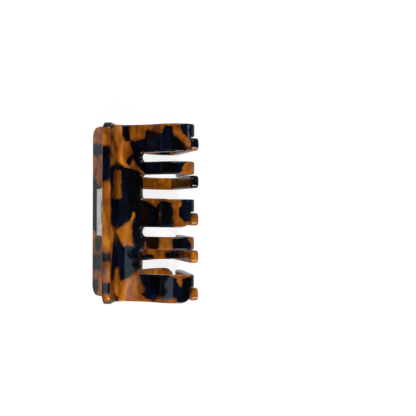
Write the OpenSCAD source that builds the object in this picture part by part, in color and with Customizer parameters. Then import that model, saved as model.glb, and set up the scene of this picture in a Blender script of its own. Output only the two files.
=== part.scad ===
// Claw clip: two equal jaws of bent acetate sheet on a sprung steel hinge.
// The clip lies on its rear jaw: +X points to the teeth, +Y along the hinge, +Z up.
// The shapes are drawn about the hinge's mid-plane (z = 0, with x = 0 at the waist) and are laid
// down at the end, so that z = 0 is the surface under the clip.

/* [Sheet] */
// Length of both jaws along the hinge
jaw_l = 84; // [70:1:100]
// Thickness of the acetate sheet
sheet_t = 3.7; // [3.2:0.1:4]
// Gap from the mid-plane to the sheet's inner face at the waist
waist_gap = 2.7; // [2.5:0.1:4]

/* [Side profile] */
// Angle of the wing from the mid-plane
wing_a = 70; // [66:1:75]
// Radius of the waist, at the middle of the sheet
waist_r = 5.7; // [5:0.1:6.5]
// Rise of the sheet where the waist becomes the flare
waist_rise = 17; // [14:1:20]
// Radius of the flare
flare_r = 30; // [25:1:36]
// Steepest rise of the sheet, at the end of the flare
flare_rise = 52; // [48:1:56]
// Radius of the belly
belly_r = 11.5; // [10:0.5:14]
// Flat length at the top of the belly
crown_l = 2; // [1:0.5:4]
// Radius of the bend from the belly to the teeth
tooth_r = 3; // [2.5:0.1:4]
// Slope of the teeth from the mid-plane
tooth_a = 87; // [84:1:89]
// Straight length of the teeth
tooth_l = 35.5; // [33:0.5:36]

/* [Fingers] */
// Number of fingers, an odd number
finger_n = 5; // [3:2:7]
// Gap between two fingers
finger_gap = 4.5; // [4.1:0.1:5]
// Gap between a front tooth and the rear tooth beside it
tooth_gap = 1.2; // [0.8:0.1:2]
// Length along the flare, from the end of the waist, where the slots begin
slot_start = 8; // [6:0.5:10]
// Radius in the slots' corners
slot_r = 1.9; // [1:0.1:2]
// Angle round the bend to the teeth where a wide finger's shoulder ends
shoulder_a = 36; // [30:1:38]
// Radius of a wide finger's shoulder
shoulder_r = 4; // [2:0.5:5]
// Radius of the wing's corners
wing_r = 5; // [3:0.5:7]
// Radius of the teeth's corners
tip_r = 2.4; // [1:0.1:2.8]
// Distance of each jaw from the hinge's middle, along the hinge
jaw_shift = 0.4; // [0.2:0.05:0.4]

/* [Hinge] */
// Distance of the pin's axis behind the waist
axis_back = 7.7; // [7.4:0.1:8]
// Radius of the pin
pin_r = 0.9; // [0.8:0.05:1]
// Running clearance between the pin and the front leaf's knuckles
pin_play = 0.05; // [0.02:0.01:0.1]
// Thickness of the leaves
leaf_t = 0.7; // [0.6:0.05:0.8]
// Width of the leaves along the hinge
leaf_w = 23; // [22:0.5:26]
// Distance of the leaves' edge from the end of the wing
leaf_start = 6; // [5:0.5:7]
// Length of a front knuckle
front_knuckle_l = 2.8; // [2:0.1:3]
// Length of a rear knuckle
rear_knuckle_l = 2.1; // [1.5:0.1:2.5]
// Side play between the knuckles
knuckle_play = 0.2; // [0.1:0.05:0.3]

/* [Spring] */
// Diameter of the spring's wire
wire_d = 1.05; // [0.9:0.05:1.1]
// Whole turns of the coil, besides the part turn between its legs
coil_n = 9; // [5:1:9]
// Gap between two turns
turn_gap = 0.19; // [0.05:0.01:0.2]
// Length of the legs on the leaves
leg_l = 12; // [8:0.5:13]

/* [Hidden] */

$fn = 48;
over = 0.5;
arc_n = 8;

// One step of a bent line is [length, turn]. A place on it is [x, z, heading].
function advance(p, step) =
    let (h = p[2] + step[1] / 2)
    [p[0] + step[0] * cos(h), p[1] + step[0] * sin(h), p[2] + step[1]];
function walk(p, steps, i = 0) =
    i == len(steps) ? [p] : concat([p], walk(advance(p, steps[i]), steps, i + 1));
function end_of(p, steps) = walk(p, steps)[len(steps)];
function bend(angle, r) =
    let (n = ceil(abs(angle) / 6))
    [for (i = [1:n]) [2 * r * sin(abs(angle) / n / 2), angle / n]];
function straight(l) = [[l, 0]];
function reverse(list) = [for (i = [len(list) - 1:-1:0]) list[i]];

// The point at a distance off the middle of the sheet, to its outer side
function off(p, d) = [p[0] - d * sin(p[2]), p[1] + d * cos(p[2])];

// The sheet's middle line, from the end of the wing to the tip of the teeth. The wing is as long as
// lets its end and the belly touch one surface.
waist = [0, waist_gap + sheet_t / 2, 0];
to_flare = bend(waist_rise, waist_r);
to_belly = concat(to_flare, bend(flare_rise - waist_rise, flare_r));
to_tooth = concat(to_belly, bend(-flare_rise, belly_r), straight(crown_l));
to_tip = concat(to_tooth, bend(-tooth_a, tooth_r), straight(tooth_l));
body_line = walk(waist, to_tip);
half_h = max([for (p = body_line) off(p, sheet_t / 2)[1]]);
to_wing = bend(-wing_a, waist_r);
wing_line = [for (p = reverse(walk([0, waist[1], 180], to_wing))) [p[0], p[1], p[2] - 180]];
wing_l = (half_h - off(wing_line[0], sheet_t / 2)[1]) / sin(wing_a);
wing_end = advance(wing_line[0], [-wing_l, 0]);
middle_line = concat([wing_end], wing_line, [for (i = [1:len(body_line) - 1]) body_line[i]]);

outer_side = [for (p = middle_line) off(p, sheet_t / 2)];
inner_side = [for (p = middle_line) off(p, -sheet_t / 2)];
x_low = min([for (p = inner_side) p[0]]);
x_high = max([for (p = outer_side) p[0]]);

slot_place = end_of(end_of(waist, to_flare), bend(slot_start / flare_r * 180 / PI, flare_r));
shoulder_place = end_of(end_of(waist, to_tooth), bend(-shoulder_a, tooth_r));
tip_place = end_of(waist, to_tip);

// Each finger fills one pitch less a gap. The teeth take the +Y half of it, and every second finger
// is as narrow as its tooth.
pitch = (jaw_l + finger_gap) / finger_n;
finger_w = pitch - finger_gap;
tooth_w = (finger_w - tooth_gap) / 2;
finger_y = [for (i = [0:finger_n - 1]) ((finger_n - 1) / 2 - i) * pitch];
function is_wide(i) = i % 2 == 0;

// The leaf is drawn in its wing's own plane: s runs from the end of the wing towards the waist, and
// n from the wing's inner face towards the pin.
inner_end = off(wing_end, -sheet_t / 2);
axis_s = (-axis_back - inner_end[0]) * cos(wing_a) + inner_end[1] * sin(wing_a);
axis_n = (axis_back + inner_end[0]) * sin(wing_a) + inner_end[1] * cos(wing_a);
leaf_sunk = leaf_t / 2;
leg_n = leaf_t - leaf_sunk + wire_d / 2 + 0.03;
coil_r = axis_n - leg_n;
foot_s = wing_l - 0.4;
tongue_w = 11.4;
tongue_end = axis_s - coil_r - wire_d - 0.4;
seat_end = foot_s + 1.5;
knuckle_r = pin_r + pin_play + leaf_t;
roll_r = knuckle_r - leaf_t / 2;
foot_d = norm([axis_s - foot_s, axis_n]);
web_a = atan2(axis_n, axis_s - foot_s) - asin(roll_r / foot_d);
web_l = sqrt(foot_d * foot_d - roll_r * roll_r);
prong_w = 1.4;
prong_l = 2;
prong_s = leaf_start + 3;
prong_y = 8.5;

rear_in = leaf_w / 2 - rear_knuckle_l;
front_out = rear_in - knuckle_play;
front_in = front_out - front_knuckle_l;
head_r = 1.5;
head_t = 0.7;

coil_sweep = 360 * coil_n + 2 * (90 - wing_a);
coil_l = coil_sweep / 360 * (wire_d + turn_gap);

// ---------- shared shapes ----------

// From the clip's own frame, about the hinge's mid-plane, to the surface it lies on
module laid_down() {
    translate([-(x_low + x_high) / 2, 0, half_h]) children();
}

// The rear jaw is the front jaw turned half round about X
module turned_over() {
    rotate([180, 0, 0]) children();
}

// Puts a flat outline on the sheet: its x runs on along the sheet from the place, its y along Y,
// and its thickness reaches from down inwards to up outwards.
module on_sheet(place, down, up) {
    translate([place[0], 0, place[1]])
    rotate([0, -place[2], 0])
    translate([0, 0, -down])
    linear_extrude(down + up)
    children();
}

// Points of an arc about a centre, from one angle to another
function arc(centre, r, from, to) =
    [for (i = [0:arc_n]) let (a = from + (to - from) * i / arc_n) centre + r * [cos(a), sin(a)]];

// The outline of a slot from y0 to y1, with round corners at its root
module slot_outline(y0, y1, l, r) {
    polygon(concat([[l, y0], [l, y1]], arc([r, y1 - r], r, 90, 180), arc([r, y0 + r], r, 180, 270)));
}

// What is cut away to round a corner: x runs out past the end, v in from the side face. The arc
// stops short of both faces and runs out straight, so that it crosses them at a clear angle.
cut_a = 10;
run_out = 3;
function corner_cut(r) =
    let (
        c = [-r, r],
        rounded = arc(c, r, cut_a - 90, -cut_a),
        out_side = rounded[0] - run_out * [cos(cut_a), sin(cut_a)],
        out_end = rounded[arc_n] + run_out * [sin(cut_a), cos(cut_a)]
    )
    concat([[over, -over], out_side], rounded, [out_end]);
module corner_outline(y, dy, r) {
    polygon([for (p = corner_cut(r)) [p[0], y + dy * p[1]]]);
}

// ---------- jaws ----------

module bent_sheet() {
    rotate([90, 0, 0])
    linear_extrude(jaw_l, center = true)
    polygon(concat(outer_side, reverse(inner_side)));
}

// A slot between two fingers. Beside a narrow finger it takes in the rear tooth's half as well.
module finger_slots() {
    for (i = [0:finger_n - 2]) {
        high = is_wide(i) ? finger_y[i] - finger_w / 2 : finger_y[i] + tooth_gap / 2;
        low = finger_y[i + 1] + finger_w / 2;
        on_sheet(slot_place, 50, 20) slot_outline(low, high, 60, slot_r);
    }
}

// A wide finger narrows to its tooth at the bend, with a round shoulder
module shoulders() {
    for (i = [0:2:finger_n - 1]) {
        low = finger_y[i] - finger_w / 2;
        high = finger_y[i] + tooth_gap / 2;
        rounded = [for (k = [1:arc_n + 1]) corner_cut(shoulder_r)[k] + [0, low]];
        on_sheet(shoulder_place, 40, 12)
        polygon(concat([[40, high], [40, low - over]], rounded, [[0, low + shoulder_r], [0, high]]));
    }
}

module rounded_tips() {
    for (y = finger_y) {
        on_sheet(tip_place, sheet_t, sheet_t) {
            corner_outline(y + tooth_gap / 2, 1, tip_r);
            corner_outline(y + finger_w / 2, -1, tip_r);
        }
    }
}

module rounded_wing() {
    for (side = [-1, 1]) {
        translate([wing_end[0], 0, wing_end[1]])
        rotate([0, -wing_end[2] + 180, 0])
        translate([0, 0, -sheet_t])
        linear_extrude(2 * sheet_t)
        corner_outline(side * jaw_l / 2, -side, wing_r);
    }
}

// The jaw stands off the hinge's middle, and the leaf's pocket does not
module jaw() {
    difference() {
        translate([0, -jaw_shift, 0])
        difference() {
            bent_sheet();
            finger_slots();
            shoulders();
            rounded_tips();
            rounded_wing();
        }
        on_wing() leaf_seat();
    }
}

// ---------- hinge ----------

// From the wing's own plane (x = s, z = n) to the clip's frame
module on_wing() {
    translate([inner_end[0], 0, inner_end[1]])
    rotate([0, wing_a, 0])
    mirror([0, 0, 1])
    children();
}

// A plate of the wing's plane, between two values of n
module plate(n0, n1) {
    translate([0, 0, n0]) linear_extrude(n1 - n0) children();
}

module prongs() {
    for (y = [-prong_y, prong_y]) {
        translate([prong_s, y - prong_w / 2, -prong_l]) cube([leaf_t, prong_w, prong_l]);
    }
}

module leaf_outline() {
    translate([leaf_start, -leaf_w / 2]) square([foot_s - leaf_start, leaf_w]);
    translate([leaf_start, -tongue_w / 2]) square([tongue_end - leaf_start, tongue_w]);
}

// The pocket in the wing that the leaf is pressed into. It runs out where the waist bends away.
module leaf_seat() {
    plate(-leaf_sunk, 1) translate([leaf_start, -leaf_w / 2]) square([seat_end - leaf_start, leaf_w]);
    prongs();
}

// A knuckle rolled from the leaf, from y0 to y1
module knuckle(y0, y1, bore) {
    translate([0, y1, 0])
    rotate([90, 0, 0])
    linear_extrude(y1 - y0)
    difference() {
        union() {
            translate([axis_s, axis_n]) circle(knuckle_r);
            translate([foot_s, 0]) rotate(web_a) translate([0, -leaf_t / 2]) square([web_l, leaf_t]);
            translate([foot_s, 0]) circle(leaf_t / 2);
        }
        translate([axis_s, axis_n]) circle(bore);
    }
}

module leaf(y_in, y_out, bore) {
    plate(-leaf_sunk, leaf_t - leaf_sunk) leaf_outline();
    prongs();
    knuckle(y_in, y_out, bore);
    knuckle(-y_out, -y_in, bore);
}

// ---------- spring ----------

// A tube swept along points, with its rings square to the path and one face of each towards Y
function unit(v) = v / norm(v);
function ring(p, t, r, n) =
    let (a = unit(cross(t, [0, 1, 0])), b = cross(t, a))
    [for (k = [0:n - 1]) p + r * (cos(360 * k / n) * a + sin(360 * k / n) * b)];
function side_faces(m, n) =
    [for (i = [0:m - 2], k = [0:n - 1])
        [i * n + k, i * n + (k + 1) % n, (i + 1) * n + (k + 1) % n, (i + 1) * n + k]];
module tube(path, r, n) {
    m = len(path);
    way = [for (i = [0:m - 1]) unit(path[min(i + 1, m - 1)] - path[max(i - 1, 0)])];
    rings = [for (i = [0:m - 1]) each ring(path[i], way[i], r, n)];
    ends = [[for (k = [n - 1:-1:0]) k], [for (k = [0:n - 1]) (m - 1) * n + k]];
    polyhedron(rings, concat(side_faces(m, n), ends));
}

// The front leg comes in along its wing and meets the coil a quarter turn from that direction. The
// rear leg leaves in the same way. The coil lies about [0, y, 0].
function coil_point(t) =
    let (a = 90 - wing_a - coil_sweep * t)
    [coil_r * cos(a), coil_l * (0.5 - t), coil_r * sin(a)];
function leg_end(side) =
    coil_point(side > 0 ? 0 : 1) + leg_l * [-cos(wing_a), 0, side * sin(wing_a)];
coil_steps = 16 * coil_n;
wire_path = concat([leg_end(1)], [for (i = [0:coil_steps]) coil_point(i / coil_steps)], [leg_end(-1)]);

// ---------- nodes ----------

module rear_jaw() {
    color("saddlebrown") laid_down() turned_over() jaw();
}

module front_jaw() {
    color("peru") laid_down() jaw();
}

module rear_leaf() {
    color("silver") laid_down() turned_over() on_wing() leaf(rear_in, leaf_w / 2, pin_r);
}

module front_leaf() {
    color("gainsboro") laid_down() on_wing() leaf(front_in, front_out, pin_r + pin_play);
}

module hinge_pin() {
    color("dimgray")
    laid_down()
    translate([-axis_back, 0, 0])
    rotate([90, 0, 0]) {
        cylinder(h = leaf_w, r = pin_r, center = true);
        for (side = [-1, 1]) {
            translate([0, 0, side * (leaf_w + head_t) / 2]) cylinder(h = head_t, r = head_r, center = true);
        }
    }
}

module torsion_spring() {
    color("lightsteelblue") laid_down() translate([-axis_back, 0, 0]) tube(wire_path, wire_d / 2, 8);
}

rear_jaw();
front_jaw();
rear_leaf();
front_leaf();
hinge_pin();
torsion_spring();
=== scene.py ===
import math
import random

import bmesh
import bpy
import numpy as np
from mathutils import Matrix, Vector


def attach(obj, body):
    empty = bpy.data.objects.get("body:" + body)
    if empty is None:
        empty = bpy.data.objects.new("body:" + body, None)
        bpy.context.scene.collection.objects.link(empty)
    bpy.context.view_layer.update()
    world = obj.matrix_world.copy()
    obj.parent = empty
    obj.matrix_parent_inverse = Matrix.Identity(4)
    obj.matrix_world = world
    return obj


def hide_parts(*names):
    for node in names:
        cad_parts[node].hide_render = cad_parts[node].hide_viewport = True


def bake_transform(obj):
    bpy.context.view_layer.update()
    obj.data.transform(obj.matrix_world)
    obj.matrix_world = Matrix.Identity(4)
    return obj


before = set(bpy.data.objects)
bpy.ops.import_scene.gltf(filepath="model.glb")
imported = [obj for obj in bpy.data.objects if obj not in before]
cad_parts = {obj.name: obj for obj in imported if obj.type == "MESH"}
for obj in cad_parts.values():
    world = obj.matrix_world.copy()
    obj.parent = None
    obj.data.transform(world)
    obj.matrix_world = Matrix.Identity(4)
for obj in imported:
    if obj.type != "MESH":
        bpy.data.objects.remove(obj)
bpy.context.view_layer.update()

MM = 0.001

# The clip's middle plane and its waist, in millimetres of the part's own frame
WAIST_X = -11.35
MID_Z = 21.29

# The jaws, in millimetres and degrees
JAW_L = 84.0
SHEET_T = 3.7
JAW_SHIFT = 0.4
WING_A = 70.0
WING_L = 13.148
EDGE_R = 0.8


def bend(turn, r):
    """One bend of the sheet's middle line: its length, and its turn in degrees."""
    return math.radians(abs(turn)) * r, turn


# The sheet's middle line starts at the wing's end, at START: x and height from the waist's middle,
# and heading. Each step of it is a length and a turn: wing, waist, flare, belly, crown and tooth.
START = (-9.853, 20.655, -WING_A)
LINE = [(WING_L, 0), bend(WING_A, 5.7), bend(17, 5.7), bend(35, 30.0), bend(-52, 11.5), (2.0, 0),
        bend(-87, 3.0), (35.5, 0)]

# Along the sheet from the wing's end: where the slots and the wide fingers' shoulders begin, and
# where the teeth end
SLOT_S = 29.8
SHOULDER_S = 54.4
TIP_S = sum(length for length, turn in LINE)

# The fingers, from +Y to -Y. A tooth is the +Y half of its finger.
FINGER_PITCH = 17.7
FINGER_Y = [FINGER_PITCH * k for k in (2, 1, 0, -1, -2)]
FINGER_HALF = 6.6
TOOTH_SIDE = 0.6

# The cells that the flat sheet is cut into before it bends: their size, and the turn of a bent one
CELL = 1.1
CELL_TURN = 5

# The hinge, in millimetres and degrees. AXIS_BACK is how far its axis lies behind the waist.
AXIS_BACK = 7.7
PIN_R = 0.9
PIN_HALF = 11.5
COIL_R = 2.286
COIL_L = 11.3
COIL_TURNS = 9
COIL_START = 90 - WING_A
COIL_SWEEP = 360 * COIL_TURNS + 2 * COIL_START
LEG_L = 12.0
WIRE_D = 1.05


# ---------- meshes ----------

def new_object(name, bm):
    """A smooth object from a bmesh in millimetres of the part's own frame."""
    bmesh.ops.scale(bm, vec=(MM, MM, MM), verts=bm.verts)
    mesh = bpy.data.meshes.new(name)
    bm.to_mesh(mesh)
    bm.free()
    mesh.polygons.foreach_set("use_smooth", [True] * len(mesh.polygons))
    obj = bpy.data.objects.new(name, mesh)
    bpy.context.scene.collection.objects.link(obj)
    return obj


def weighted_normals(obj):
    """Keeps the wide faces flat and lets the narrow ones at the edges carry the shading."""
    modifier = obj.modifiers.new("normals", "WEIGHTED_NORMAL")
    modifier.mode = "FACE_AREA"
    modifier.keep_sharp = True


def rounded(corners, steps=8):
    """The outline through corners (x, y, radius), with each corner turned into an arc."""
    points = []
    for i, (x, y, r) in enumerate(corners):
        before = Vector(corners[i - 1][:2])
        here = Vector((x, y))
        after = Vector(corners[(i + 1) % len(corners)][:2])
        a = (before - here).normalized()
        b = (after - here).normalized()
        half = a.angle(b) / 2
        centre = here + (a + b).normalized() * r / math.sin(half)
        start = here + a * r / math.tan(half) - centre
        end = here + b * r / math.tan(half) - centre
        turn = math.atan2(start.x * end.y - start.y * end.x, start.dot(end))
        for k in range(steps + 1):
            t = turn * k / steps
            c, s = math.cos(t), math.sin(t)
            points.append(centre + Vector((start.x * c - start.y * s, start.x * s + start.y * c)))
    return points


def jaw_corners():
    """Corners of the flat jaw: x along the sheet from the wing's end, y along the hinge, radius."""
    edge = JAW_L / 2
    wing_r, slot_r, shoulder_r, notch_r, tip_r = 5.0, 1.9, 4.0, 0.5, 2.4
    corners = [(0, -edge, wing_r)]
    for i in (4, 3, 2, 1, 0):
        y = FINGER_Y[i]
        low, side, high = y - FINGER_HALF, y + TOOTH_SIDE, y + FINGER_HALF
        wide = i % 2 == 0
        if i < 4:
            corners.append((SLOT_S, low if wide else side, slot_r))
        if wide:
            corners += [(SHOULDER_S, low, shoulder_r), (SHOULDER_S, side, notch_r)]
        corners += [(TIP_S, side, tip_r), (TIP_S, high, tip_r)]
        if i > 0:
            corners.append((SLOT_S, high, slot_r))
    corners.append((0, edge, wing_r))
    return corners


def cut(bm, place, direction):
    """Cuts every face that the plane through the place crosses."""
    geometry = bm.verts[:] + bm.edges[:] + bm.faces[:]
    bmesh.ops.bisect_plane(bm, geom=geometry, dist=1e-5, plane_co=place, plane_no=direction)


def flat_jaw():
    """The jaw before it is bent: a plate with rounded edges, cut into narrow strips both ways."""
    bm = bmesh.new()
    outline = [bm.verts.new((p.x, p.y, -SHEET_T / 2)) for p in rounded(jaw_corners())]
    face = bm.faces.new(outline)
    result = bmesh.ops.extrude_face_region(bm, geom=[face])
    top = [v for v in result["geom"] if isinstance(v, bmesh.types.BMVert)]
    bmesh.ops.translate(bm, verts=top, vec=(0, 0, SHEET_T))
    bmesh.ops.recalc_face_normals(bm, faces=bm.faces[:])
    rims = [e for e in bm.edges if abs(e.verts[0].co.z - e.verts[1].co.z) < 1e-6]
    bmesh.ops.bevel(bm, geom=rims, offset=EDGE_R, offset_type="OFFSET", segments=4, profile=0.5,
                    affect="EDGES", clamp_overlap=False)
    s = 0.0
    for length, turn in LINE:
        step = CELL if turn == 0 else min(CELL, abs(length / turn) * CELL_TURN)
        count = max(1, round(length / step))
        for k in range(count):
            if s + length * k / count > 0:
                cut(bm, (s + length * k / count, 0, 0), (1, 0, 0))
        s += length
    rows = int(JAW_L / 2 / CELL)
    for k in range(-rows, rows + 1):
        cut(bm, (0, k * CELL, 0), (0, 1, 0))
    corners = [f for f in bm.faces if len(f.verts) > 4]
    bmesh.ops.triangulate(bm, faces=corners)
    return bm


def sheet_point(s, d):
    """Where the bent sheet has length s and distance d off its middle line: x and height."""
    x, z, heading = START
    for length, turn in LINE:
        part = min(s, length) if (length, turn) != LINE[-1] else s
        angle = turn * part / length
        h = math.radians(heading + angle / 2)
        chord = part
        if turn:
            half = math.radians(angle) / 2
            chord = part * (math.sin(half) / half if abs(half) > 1e-9 else 1)
        x += chord * math.cos(h)
        z += chord * math.sin(h)
        heading += angle
        s -= part
        if s <= 1e-9:
            break
    h = math.radians(heading)
    return x - d * math.sin(h), z + d * math.cos(h)


# ---------- marks in the acetate ----------

# Dark chips and amber islands in the jaws, in millimetres: along the sheet from the wing's end, and
# along the hinge. Later ones lie over earlier ones.
FRONT_MARKS = [
    ("dark", [(-1, 30), (3, 29), (9, 24), (12, 19), (9, 12), (2, 13), (-1, 16), (-2, 25)]),
    ("dark", [(-2, -33), (5, -32), (9, -35), (4, -37), (-2, -37)]),
    ("dark", [(-1, -19), (1, -19), (1, -22), (-1, -22)]),
    ("dark", [(-2, 43), (8, 43), (9, 41), (4, 39), (-2, 40)]),
    ("dark", [(34, 39), (39, 37), (42, 37), (44, 40), (46, 40), (47, 35), (43, 32), (39, 29),
              (34, 28), (31, 26), (30, 25), (52, 25), (50, 20), (48, 17), (34, 17), (31, 20),
              (27, 23), (27, 28), (24, 33), (28, 34), (32, 35)]),
    ("dark", [(20, 42), (23, 42), (23, 38), (24, 34), (22, 34), (20, 37)]),
    ("dark", [(50, 42), (60, 42), (60, 34), (54, 34), (51, 38)]),
    ("dark", [(45, 35), (48, 35), (51, 32), (53, 30), (52, 28), (42, 28), (39, 29)]),
    ("dark", [(24, 26), (27, 29), (27, 27), (25, 25), (24, 22), (23, 24)]),
    ("dark", [(4, 37), (7, 34), (12, 33), (15, 30), (11, 28), (6, 31), (3, 34)]),
    ("dark", [(3, 27), (8, 25), (15, 24), (20, 21), (21, 15), (20, 6), (18, -7), (10, -9), (4, -5),
              (3, 10)]),
    ("amber", [(13, 21), (19, 20), (21, 17), (20, 12), (22, 8), (19, 5), (14, 6), (12, 13)]),
    ("dark", [(19, 21), (24, 21), (28, 20), (31, 18), (30, 10), (30, 6), (39, 2), (42, 5), (46, 4),
              (47, -8), (38, -8), (30, -8), (28, -11), (26, -12), (26, -6), (28, -2), (26, 1),
              (24, -4), (17, -7), (12, -4), (8, 3), (14, 6), (20, 7), (19, 13)]),
    ("dark", [(27, -3), (33, -4), (33, -11), (31, -18), (27, -18), (26, -10)]),
    ("dark", [(50, 1), (51, 6), (58, 6), (56, -3), (52, -4), (50, -2)]),
    ("dark", [(10, -8), (16, -11), (21, -18), (23, -16), (27, -17), (30, -17), (30, -26), (28, -28),
              (25, -30), (23, -31), (19, -32), (17, -26), (12, -26), (8, -31), (3, -32), (6, -20)]),
    ("dark", [(32, -11), (41, -11), (40, -16), (38, -17), (34, -17), (33, -14)]),
    ("dark", [(47, -11), (53, -11), (54, -18), (48, -18)]),
    ("dark", [(30, -30), (34, -28), (44, -29), (48, -31), (49, -34), (51, -36), (48, -40),
              (44, -41), (41, -39), (38, -41), (33, -40), (31, -39), (34, -36), (31, -33)]),
    ("dark", [(51, -31), (58, -29), (60, -40), (55, -43), (49, -43), (48, -39), (51, -34)]),
    ("dark", [(3, -37), (11, -38), (16, -40), (16, -43), (2, -43)]),
    ("amber", [(41, 1), (42, -1), (41, -8), (40, -8)]),
    ("amber", [(47, -2), (50, -4), (53, -6), (48, -8)]),
]
REAR_MARKS = [
    ("dark", [(-2, 34), (4, 33), (10, 33), (11, 29), (5, 28), (-2, 31)]),
    ("dark", [(-2, 17), (3, 16), (6, 13), (11, 11), (13, -8), (4, -9), (-2, -8)]),
    ("dark", [(4, -13), (10, -14), (9, -18), (7, -20), (4, -17)]),
    ("dark", [(-2, -22), (10, -21), (10, -28), (3, -28), (-2, -26)]),
    ("dark", [(-2, -34), (6, -34), (7, -37), (4, -41), (-2, -40)]),
    ("dark", [(57, 18), (93, 18), (93, 10), (56, 10)]),
    ("dark", [(51, -21), (80, -18), (79, -23), (52, -26)]),
    ("dark", [(32, -22), (39, -21), (44, -24), (32, -25)]),
    ("dark", [(83, 34), (93, 36), (93, 31), (86, 32)]),
]


def chance_marks(seed, spans):
    """Dark chips by seeded chance over spans of the sheet: s from, s to, y from, y to, how many."""
    chance = random.Random(seed)
    marks = []
    for s0, s1, y0, y1, count in spans:
        for _ in range(count):
            s, y = chance.uniform(s0, s1), chance.uniform(y0, y1)
            long, short = chance.uniform(3, 8), chance.uniform(1.5, 4)
            lean = chance.uniform(0.9, 2.2)
            points = []
            for k in range(8):
                a = 2 * math.pi * k / 8
                r = chance.uniform(0.6, 1.1)
                u, v = long * r * math.cos(a), short * r * math.sin(a)
                points.append((s + u * math.cos(lean) - v * math.sin(lean),
                               y + u * math.sin(lean) + v * math.cos(lean)))
            marks.append(("dark", points))
    return marks


def signed_distance(points, s, y):
    """Distance of each (s, y) inside the polygon's edge, below zero outside it."""
    distance = np.full(len(s), 1e9)
    inside = np.zeros(len(s), bool)
    for i, (s1, y1) in enumerate(points):
        s0, y0 = points[i - 1]
        ds, dy = s1 - s0, y1 - y0
        t = np.clip(((s - s0) * ds + (y - y0) * dy) / (ds * ds + dy * dy), 0, 1)
        distance = np.minimum(distance, np.hypot(s - s0 - t * ds, y - y0 - t * dy))
        if dy:
            crossing = ((y0 > y) != (y1 > y)) & (s < s0 + (y - y0) * ds / dy)
            inside ^= crossing
    return np.where(inside, distance, -distance)


def chip_field(marks, s, y):
    """How deep each (s, y) lies inside the dark marks, in millimetres."""
    field = np.full(len(s), -9.0)
    for kind, points in marks:
        d = signed_distance(points, s, y)
        field = np.maximum(field, d) if kind == "dark" else np.minimum(field, -d)
    return np.clip(field, -4, 4)


def bent_jaw(name, flat, marks, rear):
    """The flat jaw bent along its line, with its sheet places and its marks kept as attributes."""
    bm = flat.copy()
    flat_places = [v.co.copy() for v in bm.verts]
    for v in bm.verts:
        x, z = sheet_point(v.co.x, v.co.z)
        y = v.co.y - JAW_SHIFT
        if rear:
            y, z = -y, -z
        v.co = Vector((x + WAIST_X, y, z + MID_Z))
    obj = new_object(name, bm)
    turned = -1 if rear else 1
    s = np.array([p.x for p in flat_places])
    y = np.array([(p.y - JAW_SHIFT) * turned for p in flat_places])
    n = np.array([p.z for p in flat_places])
    sheet = obj.data.attributes.new("sheet", "FLOAT_VECTOR", "POINT")
    sheet.data.foreach_set("vector", np.stack([s, y, n], 1).astype(np.float32).ravel())
    chips = obj.data.attributes.new("chips", "FLOAT", "POINT")
    chips.data.foreach_set("value", chip_field(marks, s, y).astype(np.float32))
    weighted_normals(obj)
    return obj


def tube(name, path, r, sides):
    """A wire along a path, with its rings square to it and its ends rounded."""
    bm = bmesh.new()
    rings = []
    count = len(path)
    for i, p in enumerate(path):
        way = (path[min(i + 1, count - 1)] - path[max(i - 1, 0)]).normalized()
        a = way.cross(Vector((0, 1, 0))).normalized()
        b = way.cross(a)
        rings.append([bm.verts.new(p + r * (math.cos(t) * a + math.sin(t) * b))
                      for t in (2 * math.pi * k / sides for k in range(sides))])
    for low, high in zip(rings, rings[1:]):
        for k in range(sides):
            bm.faces.new((low[k], low[(k + 1) % sides], high[(k + 1) % sides], high[k]))
    ends = [bm.faces.new(rings[0][::-1]), bm.faces.new(rings[-1])]
    rims = [e for f in ends for e in f.edges]
    bmesh.ops.bevel(bm, geom=rims, offset=r * 0.4, segments=3, profile=0.5, affect="EDGES")
    bmesh.ops.recalc_face_normals(bm, faces=bm.faces[:])
    return new_object(name, bm)


def turned_piece(name, profile, sides):
    """A piece turned about the hinge's axis from a profile of (place along it, radius)."""
    bm = bmesh.new()
    rings = []
    for y, r in profile:
        rings.append([bm.verts.new((WAIST_X - AXIS_BACK + r * math.cos(t), y, MID_Z + r * math.sin(t)))
                      for t in (2 * math.pi * k / sides for k in range(sides))])
    for low, high in zip(rings, rings[1:]):
        for k in range(sides):
            bm.faces.new((low[k], low[(k + 1) % sides], high[(k + 1) % sides], high[k]))
    bm.faces.new(rings[0][::-1])
    bm.faces.new(rings[-1])
    bmesh.ops.recalc_face_normals(bm, faces=bm.faces[:])
    return new_object(name, bm)


# ---------- materials ----------

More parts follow.
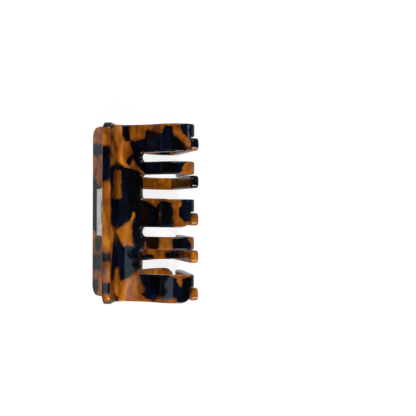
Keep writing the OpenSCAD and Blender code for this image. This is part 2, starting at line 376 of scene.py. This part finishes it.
class Nodes:
    """Short calls that add nodes to a material."""

    def __init__(self, name):
        self.material = bpy.data.materials.new(name)
        self.material.use_nodes = True
        self.tree = self.material.node_tree
        self.shader = self.tree.nodes["Principled BSDF"]

    def link(self, value, socket):
        if isinstance(value, bpy.types.NodeSocket):
            self.tree.links.new(value, socket)
        else:
            socket.default_value = value

    def attribute(self, name, output):
        node = self.tree.nodes.new("ShaderNodeAttribute")
        node.attribute_name = name
        return node.outputs[output]

    def math(self, operation, *values):
        node = self.tree.nodes.new("ShaderNodeMath")
        node.operation = operation
        for value, socket in zip(values, node.inputs):
            self.link(value, socket)
        return node.outputs[0]

    def scaled(self, vector, scale):
        node = self.tree.nodes.new("ShaderNodeVectorMath")
        node.operation = "MULTIPLY"
        self.link(vector, node.inputs[0])
        node.inputs[1].default_value = scale
        return node.outputs[0]

    def noise(self, vector, scale, detail=3.0, roughness=0.5, distortion=0.0):
        node = self.tree.nodes.new("ShaderNodeTexNoise")
        self.link(vector, node.inputs["Vector"])
        node.inputs["Scale"].default_value = scale
        node.inputs["Detail"].default_value = detail
        node.inputs["Roughness"].default_value = roughness
        node.inputs["Distortion"].default_value = distortion
        return node.outputs["Fac"]

    def step(self, value, low, high, to_low=0.0, to_high=1.0):
        node = self.tree.nodes.new("ShaderNodeMapRange")
        node.interpolation_type = "SMOOTHSTEP"
        for v, socket in zip((value, low, high, to_low, to_high), node.inputs):
            self.link(v, socket)
        return node.outputs[0]

    def ramp(self, value, stops):
        node = self.tree.nodes.new("ShaderNodeValToRGB")
        self.link(value, node.inputs[0])
        elements = node.color_ramp.elements
        while len(elements) < len(stops):
            elements.new(0.5)
        for element, (place, color) in zip(elements, stops):
            element.position = place
            element.color = (*color, 1)
        return node.outputs[0]

    def mix(self, factor, a, b):
        node = self.tree.nodes.new("ShaderNodeMix")
        node.data_type = "RGBA"
        for value, socket in zip((factor, a, b), (node.inputs[0], node.inputs[6], node.inputs[7])):
            self.link((*value, 1) if isinstance(value, tuple) else value, socket)
        return node.outputs[2]

    def bump(self, height, distance, strength=1.0, normal=None):
        node = self.tree.nodes.new("ShaderNodeBump")
        node.inputs["Strength"].default_value = strength
        node.inputs["Distance"].default_value = distance
        self.link(height, node.inputs["Height"])
        if normal is not None:
            self.link(normal, node.inputs["Normal"])
        return node.outputs[0]

    def set(self, **values):
        """Sets or links the shader's sockets, with _ for each space in a name."""
        for name, value in values.items():
            self.link(value, self.shader.inputs[name.replace("_", " ")])


def acetate(name):
    """Polished tortoiseshell acetate: amber with streaks, and near-black chips in it."""
    m = Nodes(name)
    sheet = m.attribute("sheet", "Vector")
    chips = m.attribute("chips", "Fac")
    rough_edge = m.noise(sheet, 0.26, 2, 0.45, 0.5)
    fine_edge = m.noise(sheet, 1.1, 1, 0.5)
    depth = m.math("ADD", chips, m.math("MULTIPLY", m.math("SUBTRACT", rough_edge, 0.5), 2.6))
    depth = m.math("ADD", depth, m.math("ADD", m.math("MULTIPLY", fine_edge, 0.3), 0.2))
    softness = m.step(m.noise(sheet, 0.09, 1), 0.50, 0.66, 0.12, 1.1)
    dark = m.step(depth, m.math("MULTIPLY", softness, -1.0), softness)
    patches = m.step(m.noise(sheet, 0.2, 2), 0.3, 0.6, 0.35, 1.0)
    fringe = m.math("MULTIPLY", m.step(depth, -1.7, 0.1), patches)
    streaks = m.noise(m.scaled(sheet, (1.0, 0.12, 0.5)), 0.5, 2, 0.5, 0.3)
    cloud = m.noise(m.scaled(sheet, (1.0, 0.6, 1.0)), 0.11, 3, 0.5, 0.8)
    tone = m.math("ADD", m.math("MULTIPLY", streaks, 0.22), m.math("MULTIPLY", cloud, 0.78))
    amber = m.ramp(tone, [(0.36, (0.09, 0.022, 0.003)), (0.45, (0.21, 0.055, 0.004)),
                          (0.54, (0.34, 0.098, 0.006)), (0.65, (0.55, 0.185, 0.011))])
    amber = m.mix(m.math("MULTIPLY", fringe, 0.85), amber, (0.085, 0.017, 0.003))
    blue = m.step(m.noise(m.scaled(sheet, (1.0, 0.5, 1.0)), 0.16, 2), 0.42, 0.62)
    black = m.mix(blue, (0.0012, 0.0011, 0.0013), (0.0018, 0.0036, 0.0115))
    m.set(Base_Color=m.mix(dark, amber, black))
    haze = m.noise(sheet, 0.5, 3)
    m.set(Roughness=m.step(haze, 0.35, 0.7, 0.07, 0.16), IOR=1.42)
    m.shader.inputs["Subsurface Weight"].default_value = 0.12
    m.shader.inputs["Subsurface Radius"].default_value = (0.9, 0.35, 0.08)
    m.shader.inputs["Subsurface Scale"].default_value = 0.0012
    waves = m.bump(m.noise(sheet, 0.13, 1), 0.0003)
    scratches = m.noise(m.scaled(sheet, (3.0, 0.4, 3.0)), 2.2, 3, 0.7)
    m.set(Normal=m.bump(scratches, 0.000004, 1.0, waves))
    return m.material


def steel(name, color, low, high, grain, wear):
    """Bright steel with drawing or rolling marks, faint smudges and dull spots."""
    m = Nodes(name)
    place = m.tree.nodes.new("ShaderNodeTexCoord").outputs["Object"]
    marks = m.noise(m.scaled(place, grain), 1.0, 4, 0.65)
    smudge = m.noise(place, 260, 3)
    dull = m.step(m.noise(place, 900, 2), 0.62, 0.75)
    tone = m.math("ADD", m.math("MULTIPLY", marks, 0.4), m.math("MULTIPLY", smudge, 0.6))
    bright = tuple(min(1, c * 1.08) for c in color)
    shade = tuple(c * 0.84 for c in color)
    base = m.mix(m.step(tone, 0.35, 0.65), shade, bright)
    m.set(Base_Color=m.mix(m.math("MULTIPLY", dull, wear), base, (0.30, 0.27, 0.24)))
    m.set(Roughness=m.step(m.math("ADD", tone, m.math("MULTIPLY", dull, 0.15)), 0.3, 0.75, low, high))
    m.shader.inputs["Metallic"].default_value = 1.0
    m.set(Normal=m.bump(marks, 0.000012))
    return m.material


def floor_material():
    """White paper that glows a little, so that it stays white under a soft light."""
    m = Nodes("floor_white")
    place = m.tree.nodes.new("ShaderNodeTexCoord").outputs["Object"]
    tone = m.ramp(m.noise(place, 6, 3), [(0.3, (0.21, 0.21, 0.21)), (0.7, (0.23, 0.23, 0.23))])
    m.set(Base_Color=tone, Roughness=0.7, Specular_IOR_Level=0.0)
    m.set(Emission_Color=(1, 1, 1, 1), Emission_Strength=0.86)
    return m.material


def wall_material():
    """A pale wall that only glows."""
    m = Nodes("wall_white")
    place = m.tree.nodes.new("ShaderNodeTexCoord").outputs["Object"]
    tone = m.ramp(m.noise(place, 1.5, 2), [(0.3, (0.90, 0.90, 0.90)), (0.7, (0.94, 0.94, 0.94))])
    m.set(Base_Color=(0, 0, 0, 1), Specular_IOR_Level=0.0)
    m.set(Emission_Color=tone, Emission_Strength=1.0)
    return m.material


# ---------- camera, floor and light ----------

scene = bpy.context.scene
scene.view_settings.view_transform = "Standard"

camera_data = bpy.data.cameras.new("camera")
camera_data.lens = 73.7
camera_data.sensor_width = 36.0
camera_data.clip_start = 0.01
camera_data.clip_end = 20.0
camera = bpy.data.objects.new("camera", camera_data)
camera.location = (-0.0695, 0.0009, 0.4303)
camera.rotation_euler = (math.radians(0.13), math.radians(-13.94), math.radians(0.2))
scene.collection.objects.link(camera)
scene.camera = camera

# The floor isn't seen in reflections, which would veil the polished acetate
FLOOR_HALF = 3
floor_mesh = bpy.data.meshes.new("floor")
floor_mesh.from_pydata([(-FLOOR_HALF, -FLOOR_HALF, 0), (FLOOR_HALF, -FLOOR_HALF, 0),
                        (FLOOR_HALF, FLOOR_HALF, 0), (-FLOOR_HALF, FLOOR_HALF, 0)], [], [(0, 1, 2, 3)])
floor = bpy.data.objects.new("floor", floor_mesh)
floor_mesh.materials.append(floor_material())
scene.collection.objects.link(floor)
floor.visible_glossy = False

# A pale wall all round, which neither lights the clip nor shows in it
WALL_R = 2.9
wall_round = bmesh.new()
bmesh.ops.create_cone(wall_round, segments=96, radius1=WALL_R, radius2=WALL_R, depth=6.0, cap_ends=False)
wall_mesh = bpy.data.meshes.new("wall")
wall_round.to_mesh(wall_mesh)
wall_round.free()
wall = bpy.data.objects.new("wall", wall_mesh)
wall_mesh.materials.append(wall_material())
wall.visible_diffuse = False
wall.visible_glossy = False
wall.visible_shadow = False
scene.collection.objects.link(wall)


def softbox(name, place, size, power, color=(1, 1, 1)):
    """A soft light at a place, facing the clip."""
    data = bpy.data.lights.new(name, "AREA")
    data.shape = "RECTANGLE"
    data.size, data.size_y = size
    data.energy = power
    data.color = color
    lamp = bpy.data.objects.new(name, data)
    lamp.location = place
    direction = Vector((0, 0, 0.02)) - Vector(place)
    lamp.rotation_euler = direction.to_track_quat("-Z", "Y").to_euler()
    scene.collection.objects.link(lamp)


# Two wide lights over the clip's ends, a weak one over the teeth, and a bluish one over the wings
softbox("key", (0.10, -0.75, 0.55), (0.55, 0.30), 9.0)
softbox("fill", (-0.10, 0.80, 0.60), (0.60, 0.30), 7.0)
softbox("side", (0.60, 0.25, 0.75), (0.25, 0.40), 1.2)
softbox("window", (-0.45, -0.16, 0.55), (0.16, 0.50), 0.45, (0.62, 0.82, 1.0))


def studio_world():
    """A dim room: pale grey below the horizon, darker at it and nearly dark overhead."""
    world = bpy.data.worlds.new("studio")
    world.use_nodes = True
    scene.world = world
    tree = world.node_tree
    way = tree.nodes.new("ShaderNodeTexCoord")
    split = tree.nodes.new("ShaderNodeSeparateXYZ")
    tree.links.new(way.outputs["Generated"], split.inputs[0])
    height = tree.nodes.new("ShaderNodeMapRange")
    tree.links.new(split.outputs["Z"], height.inputs["Value"])
    height.inputs["From Min"].default_value = -1.0
    sky = tree.nodes.new("ShaderNodeValToRGB")
    tree.links.new(height.outputs[0], sky.inputs[0])
    shades = sky.color_ramp.elements
    shades.new(0.5)
    colors = [(0.40, (0.56, 0.56, 0.56)), (0.5, (0.36, 0.37, 0.38)), (0.70, (0.035, 0.04, 0.05))]
    for shade, (place, color) in zip(shades, colors):
        shade.position = place
        shade.color = (*color, 1)
    background = tree.nodes["Background"]
    tree.links.new(sky.outputs[0], background.inputs["Color"])
    background.inputs["Strength"].default_value = 0.9


studio_world()


# ---------- the clip ----------

def add_jaw(name, marks, rear, body, node):
    """A jaw of acetate in place of its CAD node."""
    jaw = bent_jaw(name, flat, marks, rear)
    jaw.data.materials.append(acetate_material)
    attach(jaw, body)
    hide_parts(node)


def finish_leaves():
    """The leaves keep their CAD shape, and get rounded edges and rolled steel."""
    leaf_steel = steel("leaf_steel", (0.92, 0.91, 0.88), 0.10, 0.28, (400, 60, 400), 0.35)
    for name in ("rear_leaf", "front_leaf"):
        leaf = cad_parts[name]
        leaf.data.materials.clear()
        leaf.data.materials.append(leaf_steel)
        bevel = leaf.modifiers.new("edges", "BEVEL")
        bevel.width = 0.12 * MM
        bevel.segments = 2
        bevel.limit_method = "ANGLE"
        bevel.angle_limit = math.radians(40)


def add_pin():
    """The pin with its two domed heads, each by its height over the pin's end and its radius."""
    dome = [(0, 1.45), (0.05, 1.5), (0.25, 1.5), (0.42, 1.42), (0.56, 1.22), (0.65, 0.85), (0.7, 0.35)]
    head = [(PIN_HALF + y, r) for y, r in dome]
    tail = [(-y, r) for y, r in reversed(head)]
    pin = turned_piece("pin_steel_turned", tail + [(-PIN_HALF, PIN_R), (PIN_HALF, PIN_R)] + head, 48)
    pin.data.materials.append(steel("pin_steel", (0.78, 0.77, 0.76), 0.12, 0.30, (60, 900, 60), 0.3))
    weighted_normals(pin)
    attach(pin, "rear_jaw_body")
    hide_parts("hinge_pin")


def coil_point(t):
    """A place on the coil about the hinge's axis, with t from 0 at its +Y end to 1."""
    a = math.radians(COIL_START - COIL_SWEEP * t)
    return Vector((COIL_R * math.cos(a), COIL_L * (0.5 - t), COIL_R * math.sin(a)))


def add_spring():
    """The torsion spring: a coil round the pin, with a leg along each wing."""
    axis_place = Vector((WAIST_X - AXIS_BACK, 0, MID_Z))
    along_wing = math.radians(WING_A)
    leg_points = 8
    coil_points = 32 * COIL_TURNS
    legs = []
    for t, side in ((0, 1), (1, -1)):
        direction = Vector((-math.cos(along_wing), 0, side * math.sin(along_wing)))
        legs.append([coil_point(t) + direction * LEG_L * k / leg_points for k in range(leg_points, 0, -1)])
    wire = legs[0] + [coil_point(k / coil_points) for k in range(coil_points + 1)] + legs[1][::-1]
    spring = tube("spring_wire", [axis_place + p for p in wire], WIRE_D / 2, 16)
    spring_steel = steel("spring_steel", (0.92, 0.91, 0.87), 0.12, 0.26, (500, 500, 500), 0.25)
    spring.data.materials.append(spring_steel)
    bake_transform(spring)
    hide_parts("torsion_spring")


# Where chance adds marks to FRONT_MARKS and REAR_MARKS: s from, s to, y from, y to, how many
FRONT_CHANCE = [(62, 92, -42, 42, 16)]
REAR_CHANCE = [(14, 30, -42, 42, 14), (32, 56, 24, 42, 3), (32, 56, -7, 7, 2)]

acetate_material = acetate("tortoise_acetate")
flat = flat_jaw()
front_marks = FRONT_MARKS + chance_marks(11, FRONT_CHANCE)
rear_marks = REAR_MARKS + chance_marks(23, REAR_CHANCE)
add_jaw("front_jaw_acetate", front_marks, False, "front_jaw_body", "front_jaw")
add_jaw("rear_jaw_acetate", rear_marks, True, "rear_jaw_body", "rear_jaw")
flat.free()
finish_leaves()
add_pin()
add_spring()
